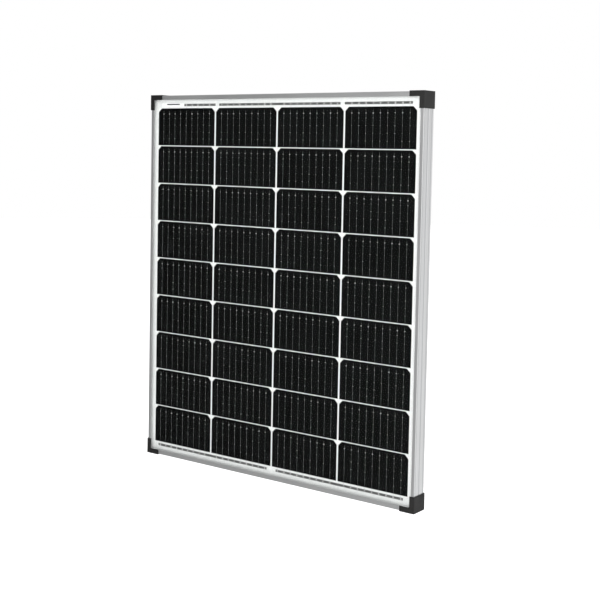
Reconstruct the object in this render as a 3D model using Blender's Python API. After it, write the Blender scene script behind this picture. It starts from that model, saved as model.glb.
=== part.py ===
# Rigid solar panel: framed glass laminate with half-cut cells, moulded corner guards and a rear junction box.
# Metres. The glass faces -Y, +Z is up, and the origin is the centre of the whole panel.
import math

import bmesh
import bpy
from mathutils import Vector

# Cells: each is half of a square wafer whose corners are cut on the wafer's own circle.
wafer_side = 0.166
wafer_corner_cut = 0.0085
cell_thickness = 0.0002
columns = 4
rows = 9
column_gap = 0.004
row_gap = 0.002

# Laminate, from the front: glass, encapsulant with the cells in pockets, backsheet.
glass_thickness = 0.0032
glass_arris = 0.0005
encapsulant_thickness = 0.0009
backsheet_thickness = 0.0004
layer_gap = 0.0001
pocket_depth = 0.0004
pocket_gap = 0.0003
ribbon_width = 0.005
ribbon_thickness = 0.00025
ribbon_offset = 0.0047
ribbon_end_inset = 0.010
ribbon_overlap = 0.002
ribbon_split = 0.0125

# Frame extrusion. Each groove along the outer wall is its depth from the front face, then its width.
side_margin = 0.018
end_margin = 0.0285
frame_depth = 0.038
side_lip = 0.007
end_lip = 0.0095
frame_wall = 0.0016
frame_edge = 0.0006
laminate_edge_gap = 0.0012
laminate_face_gap = 0.0004
chamber_width = 0.012
chamber_depth = 0.0155
flange_width = 0.028
flange_thickness = 0.0018
mitre_gap = 0.0003
groove_depth = 0.0006
groove_places = ((0.0044, 0.0028), (0.0178, 0.0062), (0.0328, 0.0052))
groove_floor_share = 1 / 3

# Holes in the rear flange.
slot_length = 0.014
slot_width = 0.009
slot_inset = 0.016
slot_spacing = 0.41
earth_hole = 0.005
drain_length = 0.012
drain_width = 0.004
drain_inset = 0.11

# Corner guards.
guard_arm = 0.034
guard_wall = 0.0012
guard_gap = 0.0003
guard_flange = 0.0113
guard_edge = 0.0006
guard_seat_depth = 0.00015

# Junction box on the backsheet. Its depth is measured outwards from its mounting face.
box_width = 0.104
box_height = 0.084
box_depth = 0.0195
box_wall = 0.0036
box_floor = 0.002
box_corner = 0.005
box_drop = 0.05
box_standoff = 0.0003
lead_window_width = 0.058
lead_window_height = 0.014
lead_slit_height = 0.006
rebate_width = 0.0022
rebate_depth = 0.0018
gasket_width = 0.0016
gasket_height = 0.0016
lid_thickness = 0.0026
lid_gap = 0.0003
lid_relief_gap = 0.0009
lid_rib_height = 0.0008
lid_rib_width = 0.0035
lid_rib_length = 0.075
lid_tab_width = 0.022
lid_tab_reach = 0.0045

# Lid hinge along the box's upper edge.
hinge_rise = 0.0042
hinge_set_back = 0.0018
knuckle_radius = 0.0030
knuckle_length = 0.030
pin_radius = 0.0015
pin_clearance = 0.0003
ear_width = 0.005
ear_gap = 0.0005
ear_radius = 0.0032
ear_web_height = 0.0048

# Cable glands in the box's lower wall, and the parts inside the box.
gland_spacing = 0.056
gland_bore = 0.0035
gland_wall_margin = 0.00105
gland_neck_gap = 0.0003
gland_collar_lip = 0.002
gland_collar_length = 0.003
gland_body_lip = 0.0013
gland_length = 0.019
gland_nose_wall = 0.0021
gland_nose_length = 0.0053
gland_inside = 0.005
block_width = 0.078
block_height = 0.020
block_base = 0.003
block_seat_gap = 0.0003
tower_width = 0.009
tower_height = 0.0065
tower_slot = 0.0022
diode_radius = 0.0027
diode_body = 0.0095
diode_lead = 0.0006
diode_lead_overlap = 0.0009
diode_gap = 0.0004

# Cutters run this far past a face. Round ends stop short of meeting. Edges over the last angle are sharp.
overshoot = 0.02
nearly_round = 0.999
crease_angle = math.radians(40)

cell_width = wafer_side
cell_height = wafer_side / 2
column_pitch = cell_width + column_gap
row_pitch = cell_height + row_gap
array_width = columns * column_pitch - column_gap
array_height = rows * row_pitch - row_gap
half_width = array_width / 2 + side_margin
half_height = array_height / 2 + end_margin
front = -frame_depth / 2
rear = frame_depth / 2

glass_front = front + frame_wall + laminate_face_gap
encapsulant_front = glass_front + glass_thickness + layer_gap
encapsulant_rear = encapsulant_front + encapsulant_thickness
backsheet_front = encapsulant_rear + layer_gap
backsheet_rear = backsheet_front + backsheet_thickness
shelf_front = backsheet_rear + laminate_face_gap
laminate_half_width = half_width - frame_wall - laminate_edge_gap
laminate_half_height = half_height - frame_wall - laminate_edge_gap
cell_front = encapsulant_rear - pocket_depth + layer_gap
ribbon_height = array_height / 2 + ribbon_offset + ribbon_width / 2

box_top = half_height - box_drop
box_middle = box_top - box_height / 2
box_front = backsheet_rear + box_standoff
gland_neck = (box_depth - rebate_depth - box_floor) / 2 - gland_wall_margin - gland_neck_gap


def clear_scene():
    for obj in list(bpy.data.objects):
        bpy.data.objects.remove(obj)


def make_material(name, colour, roughness, metallic=0.0, alpha=1.0):
    material = bpy.data.materials.new(name)
    material.use_nodes = True
    shader = material.node_tree.nodes["Principled BSDF"]
    shader.inputs["Base Color"].default_value = (*colour, 1.0)
    shader.inputs["Roughness"].default_value = roughness
    shader.inputs["Metallic"].default_value = metallic
    shader.inputs["Alpha"].default_value = alpha
    return material


def make_empty(name, place=(0, 0, 0)):
    empty = bpy.data.objects.new(name, None)
    empty.location = place
    bpy.context.scene.collection.objects.link(empty)
    return empty


def make_object(name, mesh, material=None, place=(0, 0, 0), parent=None):
    obj = bpy.data.objects.new(name, mesh)
    obj.location = place
    obj.parent = parent
    if material and not mesh.materials:
        mesh.materials.append(material)
    bpy.context.scene.collection.objects.link(obj)
    return obj


def finish_mesh(name, bm):
    bmesh.ops.recalc_face_normals(bm, faces=bm.faces)
    mesh = bpy.data.meshes.new(name)
    bm.to_mesh(mesh)
    bm.free()
    return mesh


def extrude_outline(bm, outline, place_start, place_end):
    """Adds a closed prism: the same outline of 2-D points placed by two functions, one for each end."""
    start = [bm.verts.new(place_start(p)) for p in outline]
    end = [bm.verts.new(place_end(p)) for p in outline]
    bm.faces.new(start)
    bm.faces.new(list(reversed(end)))
    for i in range(len(outline)):
        j = (i + 1) % len(outline)
        bm.faces.new((start[i], end[i], end[j], start[j]))


def plate_mesh(name, outlines, y_from, y_to):
    """One mesh of flat plates facing Y, each from its own outline of (x, z) points."""
    bm = bmesh.new()
    for outline in outlines:
        extrude_outline(bm, outline, lambda p: (p[0], y_from, p[1]), lambda p: (p[0], y_to, p[1]))
    return finish_mesh(name, bm)


def rectangle(half_x, half_z, x=0.0, z=0.0):
    left, right = x - half_x, x + half_x
    low, high = z - half_z, z + half_z
    return [(left, low), (right, low), (right, high), (left, high)]


def rounded_rectangle(half_x, half_z, radius, steps=5, x=0.0, z=0.0):
    outline = []
    for corner, (sx, sz) in enumerate(((1, 1), (-1, 1), (-1, -1), (1, -1))):
        for step in range(steps + 1):
            angle = math.radians(90 * corner + 90 * step / steps)
            cx = x + sx * (half_x - radius)
            cz = z + sz * (half_z - radius)
            outline.append((cx + radius * math.cos(angle), cz + radius * math.sin(angle)))
    return outline


def box_mesh(name, low, high):
    outline = [(low[0], low[2]), (high[0], low[2]), (high[0], high[2]), (low[0], high[2])]
    return plate_mesh(name, [outline], low[1], high[1])


def turned_mesh(name, profile, segments, direction):
    """A solid turned about an axis through its origin, from a closed loop of (radius, along) points."""
    turn = Vector((0, 0, 1)).rotation_difference(Vector(direction))
    bm = bmesh.new()
    rings = []
    for step in range(segments):
        angle = 2 * math.pi * step / segments
        spoke = Vector((math.cos(angle), math.sin(angle), 0))
        rings.append([bm.verts.new(turn @ (spoke * r + Vector((0, 0, s)))) for r, s in profile])
    for step in range(segments):
        here = rings[step]
        after = rings[(step + 1) % segments]
        for i in range(len(profile)):
            j = (i + 1) % len(profile)
            bm.faces.new((here[i], here[j], after[j], after[i]))
    bmesh.ops.remove_doubles(bm, verts=bm.verts, dist=1e-7)
    mesh = finish_mesh(name, bm)
    mesh.shade_smooth()
    mesh.set_sharp_from_angle(angle=crease_angle)
    return mesh


def rod_mesh(name, radius, length, direction, segments=24):
    """A plain round bar centred on its origin."""
    turn = Vector((0, 0, 1)).rotation_difference(Vector(direction))
    circle = [2 * math.pi * i / segments for i in range(segments)]
    outline = [(radius * math.cos(a), radius * math.sin(a)) for a in circle]
    bm = bmesh.new()
    extrude_outline(
        bm,
        outline,
        lambda p: turn @ Vector((p[0], p[1], -length / 2)),
        lambda p: turn @ Vector((p[0], p[1], length / 2)),
    )
    mesh = finish_mesh(name, bm)
    mesh.shade_smooth()
    mesh.set_sharp_from_angle(angle=crease_angle)
    return mesh


def helper(name, mesh, place=(0, 0, 0), parent=None):
    """A shape that only cuts or adds to another, so it is drawn as a wire and left out of a render."""
    obj = make_object(name, mesh, None, place, parent)
    obj.hide_render = True
    obj.display_type = "WIRE"
    return obj


def combine(obj, other, operation):
    step = obj.modifiers.new(operation.lower() + "_" + other.name, "BOOLEAN")
    step.operation = operation
    step.solver = "EXACT"
    step.object = other


def bevel_edges(obj, width, segments=2):
    step = obj.modifiers.new("edge_round", "BEVEL")
    step.width = width
    step.segments = segments
    step.limit_method = "ANGLE"
    step.angle_limit = crease_angle


def rail_profile(lip):
    """The extrusion's section as (inward from the outer face, depth from the front face)."""
    shelf = shelf_front - front
    chamber_rear = shelf + frame_wall + chamber_depth
    points = [
        (frame_edge, 0),
        (lip, 0),
        (lip, frame_wall),
        (frame_wall, frame_wall),
        (frame_wall, shelf),
        (chamber_width, shelf),
        (chamber_width, chamber_rear),
        (frame_wall, chamber_rear),
        (frame_wall, frame_depth - flange_thickness),
        (flange_width, frame_depth - flange_thickness),
        (flange_width, frame_depth),
        (frame_edge, frame_depth),
        (0, frame_depth - frame_edge),
    ]
    for place, width in reversed(groove_places):
        floor = width * groove_floor_share
        points += [
            (0, place + width / 2),
            (groove_depth, place + floor / 2),
            (groove_depth, place - floor / 2),
            (0, place - width / 2),
        ]
    points.append((0, frame_edge))
    return points


def rail_mesh(name, profile, half_length):
    """The section run along X, outer face up (+Z), with both ends mitred at 45 degrees."""
    short = mitre_gap / math.sqrt(2)
    bm = bmesh.new()
    extrude_outline(
        bm,
        profile,
        lambda p: (-(half_length - p[0] - short), front + p[1], -p[0]),
        lambda p: (half_length - p[0] - short, front + p[1], -p[0]),
    )
    return finish_mesh(name, bm)


def stadium(half_x, half_z, x=0.0, z=0.0, steps=8):
    """A slot outline: a rectangle whose shorter ends are half circles, or a round hole."""
    return rounded_rectangle(half_x, half_z, min(half_x, half_z) * nearly_round, steps, x, z)


def make_rail(name, lip, half_length, half_across, turn, holes, material, parent):
    """A rail in its own frame, turned about Y into place. Its hollow, its flange holes and the shallow
    steps that the corner guards cover are cut from the extrusion."""
    seat = make_empty(name + "_seat")
    seat.parent = parent
    seat.rotation_euler = (0, turn, 0)
    place = (0, 0, half_across)
    rail = make_object(name, rail_mesh(name, rail_profile(lip), half_length), material, place, seat)
    chamber_front = shelf_front + frame_wall
    hollow = box_mesh(
        name + "_hollow",
        (-half_length, chamber_front, -chamber_width + frame_wall),
        (half_length, chamber_front + chamber_depth - frame_wall, -frame_wall),
    )
    combine(rail, helper(name + "_hollow", hollow, place, seat), "DIFFERENCE")
    cuts = plate_mesh(name + "_holes", holes, rear - 2 * flange_thickness, rear + overshoot)
    combine(rail, helper(name + "_holes", cuts, place, seat), "DIFFERENCE")
    ends = [rectangle(guard_arm, flange_width + overshoot, side * half_length) for side in (-1, 1)]
    for face, low, high in (
        ("front", front - overshoot, front + guard_seat_depth),
        ("rear", rear - guard_seat_depth, rear + overshoot),
    ):
        step = plate_mesh(f"{name}_{face}_steps", ends, low, high)
        combine(rail, helper(f"{name}_{face}_steps", step, place, seat), "DIFFERENCE")
    return rail


def make_frame(material):
    parent = make_empty("frame")
    earth = stadium(earth_hole / 2, earth_hole / 2, 0, -slot_inset)
    side_holes = [earth]
    for side in (-1, 1):
        side_holes.append(stadium(slot_length / 2, slot_width / 2, side * slot_spacing / 2, -slot_inset))
    end_holes = [earth]
    for side in (-1, 1):
        x = side * (half_width - drain_inset)
        end_holes.append(stadium(drain_length / 2, drain_width / 2, x, -slot_inset))
    quarter = math.pi / 2
    make_rail("rail_top", end_lip, half_width, half_height, 0, end_holes, material, parent)
    make_rail("rail_bottom", end_lip, half_width, half_height, 2 * quarter, end_holes, material, parent)
    make_rail("rail_right", side_lip, half_height, half_width, quarter, side_holes, material, parent)
    make_rail("rail_left", side_lip, half_height, half_width, -quarter, side_holes, material, parent)


def make_guards(material):
    """Four equal guards. Each is made at the corner of +X and +Z and turned about Y to its own corner."""
    outer = guard_gap + guard_wall
    deep = frame_depth / 2 + outer
    inner = outer - guard_flange
    corners = {
        "top_right": (1, 1, 0),
        "bottom_right": (1, -1, 1),
        "bottom_left": (-1, -1, 2),
        "top_left": (-1, 1, 3),
    }
    for name, (side_x, side_z, turns) in corners.items():
        seat = make_empty("corner_" + name, (side_x * half_width, 0, side_z * half_height))
        seat.rotation_euler = (0, turns * math.pi / 2, 0)
        block = box_mesh("guard_" + name, (outer - guard_arm, -deep, outer - guard_arm), (outer, deep, outer))
        guard = make_object("corner_guard_" + name, block, material, (0, 0, 0), seat)
        reach = -guard_arm - overshoot
        room = box_mesh(
            "guard_room", (reach, -deep + guard_wall, reach), (guard_gap, deep - guard_wall, guard_gap)
        )
        window = box_mesh("guard_window", (reach, -deep - overshoot, reach), (inner, deep + overshoot, inner))
        combine(guard, helper("room_" + name, room, (0, 0, 0), seat), "DIFFERENCE")
        combine(guard, helper("window_" + name, window, (0, 0, 0), seat), "DIFFERENCE")
        bevel_edges(guard, guard_edge)


def cell_outline(grow=0.0):
    """A half wafer: square lower corners, upper corners on the wafer's circle."""
    half = wafer_side / 2
    flat = half - wafer_corner_cut
    radius = math.hypot(half, flat) + grow
    wafer_centre = -cell_height / 2
    start = math.asin(flat / math.hypot(half, flat))
    end = math.pi / 2 - start
    outline = [(-half - grow, wafer_centre - grow), (half + grow, wafer_centre - grow)]
    steps = 4
    for step in range(steps + 1):
        angle = start + (end - start) * step / steps
        outline.append((radius * math.cos(angle), wafer_centre + radius * math.sin(angle)))
    outline += [(-x, z) for x, z in reversed(outline[2:])]
    return outline


def cell_place(column, row):
    return ((column - (columns - 1) / 2) * column_pitch, ((rows - 1) / 2 - row) * row_pitch)


def ribbon_spans():
    """Bus ribbons as name, height and the X of both ends. Top: two end leads and the middle link."""
    edge = array_width / 2 - ribbon_end_inset
    inner = array_width / 2 - cell_width
    spans = {
        "top_left": (ribbon_height, -edge, -inner + ribbon_overlap),
        "top_middle": (ribbon_height, -inner + ribbon_split, inner - ribbon_split),
        "top_right": (ribbon_height, inner - ribbon_overlap, edge),
        "bottom_left": (-ribbon_height, -edge, -ribbon_split),
        "bottom_right": (-ribbon_height, ribbon_split, edge),
    }
    return spans


def ribbon_outline(height, left, right, grow=0.0):
    return rectangle((right - left) / 2 + grow, ribbon_width / 2 + grow, (left + right) / 2, height)


def make_laminate(glass, clear, silicon, tin, white):
    parent = make_empty("laminate")
    sheet = rectangle(laminate_half_width, laminate_half_height)
    pane = plate_mesh("front_glass", [sheet], glass_front, glass_front + glass_thickness)
    bevel_edges(make_object("front_glass", pane, glass, (0, 0, 0), parent), glass_arris, 1)

    film = plate_mesh("encapsulant", [sheet], encapsulant_front, encapsulant_rear)
    encapsulant = make_object("encapsulant", film, clear, (0, 0, 0), parent)
    pockets = [ribbon_outline(*span, grow=pocket_gap) for span in ribbon_spans().values()]
    for column in range(columns):
        for row in range(rows):
            x, z = cell_place(column, row)
            pockets.append([(x + px, z + pz) for px, pz in cell_outline(pocket_gap)])
    recess = plate_mesh("pockets", pockets, encapsulant_rear - pocket_depth, encapsulant_rear + pocket_depth)
    combine(encapsulant, helper("pockets", recess, (0, 0, 0), parent), "DIFFERENCE")

    cell = plate_mesh("half_cell", [cell_outline()], 0, cell_thickness)
    for column in range(columns):
        for row in range(rows):
            x, z = cell_place(column, row)
            make_object(f"cell_c{column + 1}_r{row + 1}", cell, silicon, (x, cell_front, z), parent)

    for name, span in ribbon_spans().items():
        outline = ribbon_outline(*span)
        strip = plate_mesh("ribbon_" + name, [outline], cell_front, cell_front + ribbon_thickness)
        make_object("bus_ribbon_" + name, strip, tin, (0, 0, 0), parent)

    back = plate_mesh("backsheet", [sheet], backsheet_front, backsheet_rear)
    backsheet = make_object("backsheet", back, white, (0, 0, 0), parent)
    slit = rectangle(lead_window_width / 2, lead_slit_height / 2, 0, lead_height())
    slit_cut = plate_mesh("lead_slit", [slit], encapsulant_rear, box_front)
    combine(backsheet, helper("lead_slit", slit_cut, (0, 0, 0), parent), "DIFFERENCE")


def lead_height():
    return box_top - box_wall - lead_window_height


def make_box_base(material, parent):
    """The tray: floor with the lead window, walls with a rebated rim, hinge ears and gland holes."""
    half_x = box_width / 2
    half_z = box_height / 2
    outline = rounded_rectangle(half_x, half_z, box_corner)
    block = plate_mesh("box_base", [outline], 0, box_depth)
    base = make_object("junction_box_base", block, material, parent=parent)
    inside = rounded_rectangle(half_x - box_wall, half_z - box_wall, box_corner - box_wall / 2)
    room = plate_mesh("box_room", [inside], box_floor, box_depth + overshoot)
    rebate = rounded_rectangle(
        half_x - box_wall + rebate_width, half_z - box_wall + rebate_width, box_corner - rebate_width / 2
    )
    step = plate_mesh("rim_step", [rebate], box_depth - rebate_depth, box_depth + overshoot)
    window = rectangle(lead_window_width / 2, lead_window_height / 2, 0, lead_height() - box_middle)
    lead_window = plate_mesh("lead_window", [window], -overshoot, box_depth / 2)
    hinge_y, hinge_z = hinge_place()
    for side in (-1, 1):
        ear_x = side * (knuckle_length / 2 + ear_gap + ear_width / 2)
        ear = ear_mesh(ear_x, hinge_y, hinge_z, half_z - box_wall / 2)
        combine(base, helper(f"hinge_ear_{side}", ear, parent=parent), "UNION")
    combine(base, helper("box_room", room, parent=parent), "DIFFERENCE")
    combine(base, helper("rim_step", step, parent=parent), "DIFFERENCE")
    combine(base, helper("lead_window", lead_window, parent=parent), "DIFFERENCE")
    pin_hole = rod_mesh("pin_hole", pin_radius + pin_clearance, 2 * knuckle_length, (1, 0, 0))
    combine(base, helper("pin_hole", pin_hole, (0, hinge_y, hinge_z), parent), "DIFFERENCE")
    for side in (-1, 1):
        hole = rod_mesh("gland_hole", gland_neck + gland_neck_gap, 4 * box_wall, (0, 0, 1), 32)
        place = (side * gland_spacing / 2, gland_depth(), -half_z)
        combine(base, helper(f"gland_hole_{side}", hole, place, parent), "DIFFERENCE")
    return base


def ear_mesh(x, y, z, foot):
    """One hinge ear in a single outline: a round eye about (y, z) on a web that rises from foot."""
    web_reach = ear_web_height - ear_radius
    lowest = -math.acos(web_reach / ear_radius)
    turns = [lowest + (math.pi - lowest) * i / 16 for i in range(17)]
    outline = [(y + ear_radius * math.cos(a), z + ear_radius * math.sin(a)) for a in turns]
    outline += [(y - ear_radius, foot), (y + web_reach, foot)]
    left, right = x - ear_width / 2, x + ear_width / 2
    bm = bmesh.new()
    extrude_outline(bm, outline, lambda p: (left, p[0], p[1]), lambda p: (right, p[0], p[1]))
    return finish_mesh("hinge_ear", bm)


def hinge_place():
    """The hinge axis as (depth, height) from the middle of the box's mounting face."""
    return (box_depth - hinge_set_back, box_height / 2 + hinge_rise)


def gland_depth():
    """Depth of the gland axes above the box's mounting face."""
    return (box_floor + box_depth - rebate_depth) / 2


def make_lid(material, parent):
    """The lid has its origin on the hinge axis, and turns about X."""
    half_x = box_width / 2
    top = -hinge_rise
    seat = hinge_set_back + lid_gap
    middle = top - box_height / 2
    outline = [(x, z + middle) for x, z in rounded_rectangle(half_x, box_height / 2, box_corner)]
    place = (0, *hinge_place())
    plate = plate_mesh("box_lid", [outline], seat, seat + lid_thickness)
    lid = make_object("junction_box_lid", plate, material, place, parent)
    lid_parts = {
        "lid_tongue": box_mesh(
            "lid_tongue",
            (-knuckle_length / 2, 0, top - box_wall),
            (knuckle_length / 2, seat + lid_thickness, 0),
        ),
        "lid_tab": box_mesh(
            "lid_tab",
            (-lid_tab_width / 2, seat, middle - box_height / 2 - lid_tab_reach),
            (lid_tab_width / 2, seat + lid_thickness, middle - box_height / 2 + box_wall),
        ),
        "lid_knuckle": rod_mesh("lid_knuckle", knuckle_radius, knuckle_length, (1, 0, 0)),
        "lid_pin": rod_mesh("lid_pin", pin_radius, knuckle_length + 2 * (ear_gap + ear_width), (1, 0, 0)),
    }
    relief_top = top + lid_relief_gap
    below = box_mesh("lid_relief", (-half_x, -overshoot, top - box_height), (half_x, seat, relief_top))
    for name, mesh in lid_parts.items():
        combine(lid, helper(name, mesh, place, parent), "UNION")
    combine(lid, helper("lid_relief", below, place, parent), "DIFFERENCE")
    for side in (-1, 0, 1):
        rib = stadium(lid_rib_length / 2, lid_rib_width / 2, 0, middle + side * box_height / 4)
        rib_top = seat + lid_thickness + lid_rib_height
        rib_mesh = plate_mesh("lid_rib", [rib], seat + lid_thickness / 2, rib_top)
        combine(lid, helper(f"lid_rib_{side}", rib_mesh, place, parent), "UNION")
    return lid


def make_gasket(material, parent):
    """A rubber ring lying in the rim's rebate."""
    spare = (rebate_width - gasket_width) / 2
    half_x = box_width / 2 - box_wall + spare
    half_z = box_height / 2 - box_wall + spare
    outer = rounded_rectangle(half_x + gasket_width, half_z + gasket_width, box_corner - rebate_width / 2)
    inner = rounded_rectangle(half_x, half_z, box_corner - box_wall / 2)
    low = box_depth - rebate_depth + pocket_gap / 2
    ring = plate_mesh("gasket", [outer], low, low + gasket_height)
    gasket = make_object("lid_gasket", ring, material, parent=parent)
    hole = plate_mesh("gasket_hole", [inner], 0, box_depth + overshoot)
    combine(gasket, helper("gasket_hole", hole, parent=parent), "DIFFERENCE")


def make_glands(material, parent):
    """Turned glands through the lower wall, open from end to end for the cable."""
    rim = box_wall + gland_inside
    profile = [
        (gland_bore, rim),
        (gland_bore, -gland_length),
        (gland_bore + gland_nose_wall, -gland_length),
        (gland_neck + gland_body_lip, gland_nose_length - gland_length),
        (gland_neck + gland_body_lip, -gland_collar_length),
        (gland_neck + gland_collar_lip, -gland_collar_length),
        (gland_neck + gland_collar_lip, -gland_neck_gap),
        (gland_neck, -gland_neck_gap),
        (gland_neck, rim),
    ]
    mesh = turned_mesh("gland", profile, 32, (0, 0, 1))
    for name, side in (("left", -1), ("right", 1)):
        place = (side * gland_spacing / 2, gland_depth(), -box_height / 2)
        make_object("cable_gland_" + name, mesh, material, place, parent)


def make_terminals(plastic, diode_material, parent):
    """A moulded block with three slotted towers, and two bypass diodes whose leads lie in the slots."""
    seat = box_floor + block_seat_gap
    middle = lead_height() - box_middle - lead_window_height - block_height / 2
    low = (-block_width / 2, seat, middle - block_height / 2)
    high = (block_width / 2, seat + block_base, middle + block_height / 2)
    block = make_object("terminal_block", box_mesh("block", low, high), plastic, parent=parent)
    reach = block_width / 2 - tower_width / 2
    tower_top = seat + block_base + tower_height
    for index in (-1, 0, 1):
        x = index * reach
        tower = box_mesh(
            "tower",
            (x - tower_width / 2, seat + block_base / 2, middle - block_height / 2),
            (x + tower_width / 2, tower_top, middle + block_height / 2),
        )
        combine(block, helper(f"tower_{index}", tower, parent=parent), "UNION")
    lead_depth = tower_top - tower_slot / 2
    for index in (-1, 1):
        z = middle + index * block_height / 4
        slot = box_mesh(
            "lead_slot",
            (-block_width, lead_depth - tower_slot / 2, z - tower_slot / 2),
            (block_width, tower_top + overshoot, z + tower_slot / 2),
        )
        combine(block, helper(f"lead_slot_{index}", slot, parent=parent), "DIFFERENCE")
    lead_half = (reach - diode_lead_overlap) / 2
    profile = [
        (0, -lead_half),
        (diode_lead, -lead_half),
        (diode_lead, -diode_body / 2),
        (diode_radius, -diode_body / 2),
        (diode_radius, diode_body / 2),
        (diode_lead, diode_body / 2),
        (diode_lead, lead_half),
        (0, lead_half),
    ]
    mesh = turned_mesh("diode", profile, 24, (1, 0, 0))
    for name, index in (("left", -1), ("right", 1)):
        place = (index * reach / 2, lead_depth + diode_gap, middle + index * block_height / 4)
        make_object("bypass_diode_" + name, mesh, diode_material, place, parent)


def make_junction_box(plastic, rubber, moulding, diode_material):
    parent = make_empty("junction_box", (0, box_front, box_middle))
    make_box_base(plastic, parent)
    make_lid(plastic, parent)
    make_gasket(rubber, parent)
    make_glands(plastic, parent)
    make_terminals(moulding, diode_material, parent)


def build_panel():
    clear_scene()
    aluminium = make_material("anodised_aluminium", (0.74, 0.75, 0.76), 0.35, 1.0)
    guard_plastic = make_material("guard_plastic", (0.035, 0.035, 0.037), 0.55)
    glass = make_material("solar_glass", (0.86, 0.90, 0.90), 0.05, 0.0, 0.2)
    clear = make_material("encapsulant_film", (0.88, 0.90, 0.90), 0.2, 0.0, 0.2)
    silicon = make_material("dark_silicon", (0.010, 0.012, 0.013), 0.25)
    tin = make_material("tinned_copper", (0.42, 0.43, 0.43), 0.4, 1.0)
    white = make_material("white_backsheet", (0.82, 0.83, 0.83), 0.6)
    box_plastic = make_material("box_plastic", (0.022, 0.022, 0.024), 0.45)
    rubber = make_material("gasket_rubber", (0.05, 0.05, 0.05), 0.8)
    moulding = make_material("terminal_moulding", (0.20, 0.20, 0.19), 0.5)
    diode_black = make_material("diode_black", (0.015, 0.015, 0.015), 0.35)
    make_frame(aluminium)
    make_guards(guard_plastic)
    make_laminate(glass, clear, silicon, tin, white)
    make_junction_box(box_plastic, rubber, moulding, diode_black)


build_panel()
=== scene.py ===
import math

import bmesh
import bpy
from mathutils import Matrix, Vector


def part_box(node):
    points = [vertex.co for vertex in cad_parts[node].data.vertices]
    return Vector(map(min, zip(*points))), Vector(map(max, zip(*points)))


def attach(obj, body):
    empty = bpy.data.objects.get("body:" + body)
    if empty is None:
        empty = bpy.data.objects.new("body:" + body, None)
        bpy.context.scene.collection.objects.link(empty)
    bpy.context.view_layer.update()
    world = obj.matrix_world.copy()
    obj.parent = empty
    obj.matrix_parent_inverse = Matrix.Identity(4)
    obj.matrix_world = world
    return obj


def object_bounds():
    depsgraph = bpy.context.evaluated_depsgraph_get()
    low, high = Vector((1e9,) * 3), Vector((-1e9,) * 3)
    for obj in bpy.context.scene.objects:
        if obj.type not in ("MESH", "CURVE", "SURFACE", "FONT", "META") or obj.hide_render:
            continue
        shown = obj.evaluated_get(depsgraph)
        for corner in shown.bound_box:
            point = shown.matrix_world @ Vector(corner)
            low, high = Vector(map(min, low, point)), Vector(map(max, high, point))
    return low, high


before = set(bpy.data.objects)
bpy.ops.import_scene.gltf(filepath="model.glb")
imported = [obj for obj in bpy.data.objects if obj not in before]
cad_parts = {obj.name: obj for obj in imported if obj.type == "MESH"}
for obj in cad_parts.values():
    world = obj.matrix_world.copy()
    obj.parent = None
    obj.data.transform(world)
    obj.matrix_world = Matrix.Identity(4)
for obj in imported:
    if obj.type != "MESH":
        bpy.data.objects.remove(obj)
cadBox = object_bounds()
scene = bpy.context.scene


# Small helpers for node trees

def addNode(tree, kind, inputs=None, **settings):
    node = tree.nodes.new(kind)
    for key, value in settings.items():
        setattr(node, key, value)
    for key, value in (inputs or {}).items():
        if isinstance(value, bpy.types.NodeSocket):
            tree.links.new(value, node.inputs[key])
        else:
            node.inputs[key].default_value = value
    return node


def geo(tree, kind, inputs=None, **settings):
    return addNode(tree, "GeometryNode" + kind, inputs, **settings).outputs[0]


def calc(tree, operation, first, second=0.0):
    return addNode(tree, "ShaderNodeMath", {0: first, 1: second}, operation=operation).outputs[0]


def vector(tree, operation, first, second):
    return addNode(tree, "ShaderNodeVectorMath", {0: first, 1: second}, operation=operation).outputs[0]


def scaled(tree, first, factor):
    return addNode(tree, "ShaderNodeVectorMath", {0: first, 3: factor}, operation="SCALE").outputs[0]


def dot(tree, first, second):
    node = addNode(tree, "ShaderNodeVectorMath", {0: first, 1: second}, operation="DOT_PRODUCT")
    return node.outputs["Value"]


def remap(tree, value, low, high, toLow=0.0, toHigh=1.0):
    ends = {"Value": value, "From Min": low, "From Max": high, "To Min": toLow, "To Max": toHigh}
    return addNode(tree, "ShaderNodeMapRange", ends).outputs["Result"]


def mixColour(tree, factor, first, second):
    return addNode(tree, "ShaderNodeMix", {0: factor, 6: first, 7: second}, data_type="RGBA").outputs[2]


def mottled(tree, value, dark, light, low=0.3, high=0.7):
    return mixColour(tree, remap(tree, value, low, high), dark, light)


def noise(tree, place, scale, detail=2.0, roughness=0.5):
    inputs = {"Vector": place, "Scale": scale, "Detail": detail, "Roughness": roughness}
    return addNode(tree, "ShaderNodeTexNoise", inputs).outputs["Fac"]


def grey(level):
    return (level, level, level, 1)


def newGroup(name, inputs, outputs):
    group = bpy.data.node_groups.new(name, "ShaderNodeTree")
    for label, kind, value in inputs:
        socket = group.interface.new_socket(name=label, in_out="INPUT", socket_type="NodeSocket" + kind)
        if value is not None:
            socket.default_value = value
    for label, kind in outputs:
        group.interface.new_socket(name=label, in_out="OUTPUT", socket_type="NodeSocket" + kind)
    return group, group.nodes.new("NodeGroupInput").outputs, group.nodes.new("NodeGroupOutput").inputs


def useGroup(tree, group, inputs):
    node = tree.nodes.new("ShaderNodeGroup")
    node.node_tree = group
    for key, value in inputs.items():
        if isinstance(value, bpy.types.NodeSocket):
            tree.links.new(value, node.inputs[key])
        else:
            node.inputs[key].default_value = value
    return node.outputs


def newFinish(name):
    finish = bpy.data.materials.new(name)
    finish.use_nodes = True
    tree = finish.node_tree
    place = addNode(tree, "ShaderNodeTexCoord").outputs["Object"]
    return finish, tree, tree.nodes["Principled BSDF"], place


def feed(tree, shader, **sockets):
    for label, value in sockets.items():
        socket = shader.inputs[label.replace("_", " ")]
        if isinstance(value, bpy.types.NodeSocket):
            tree.links.new(value, socket)
        else:
            socket.default_value = value


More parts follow.
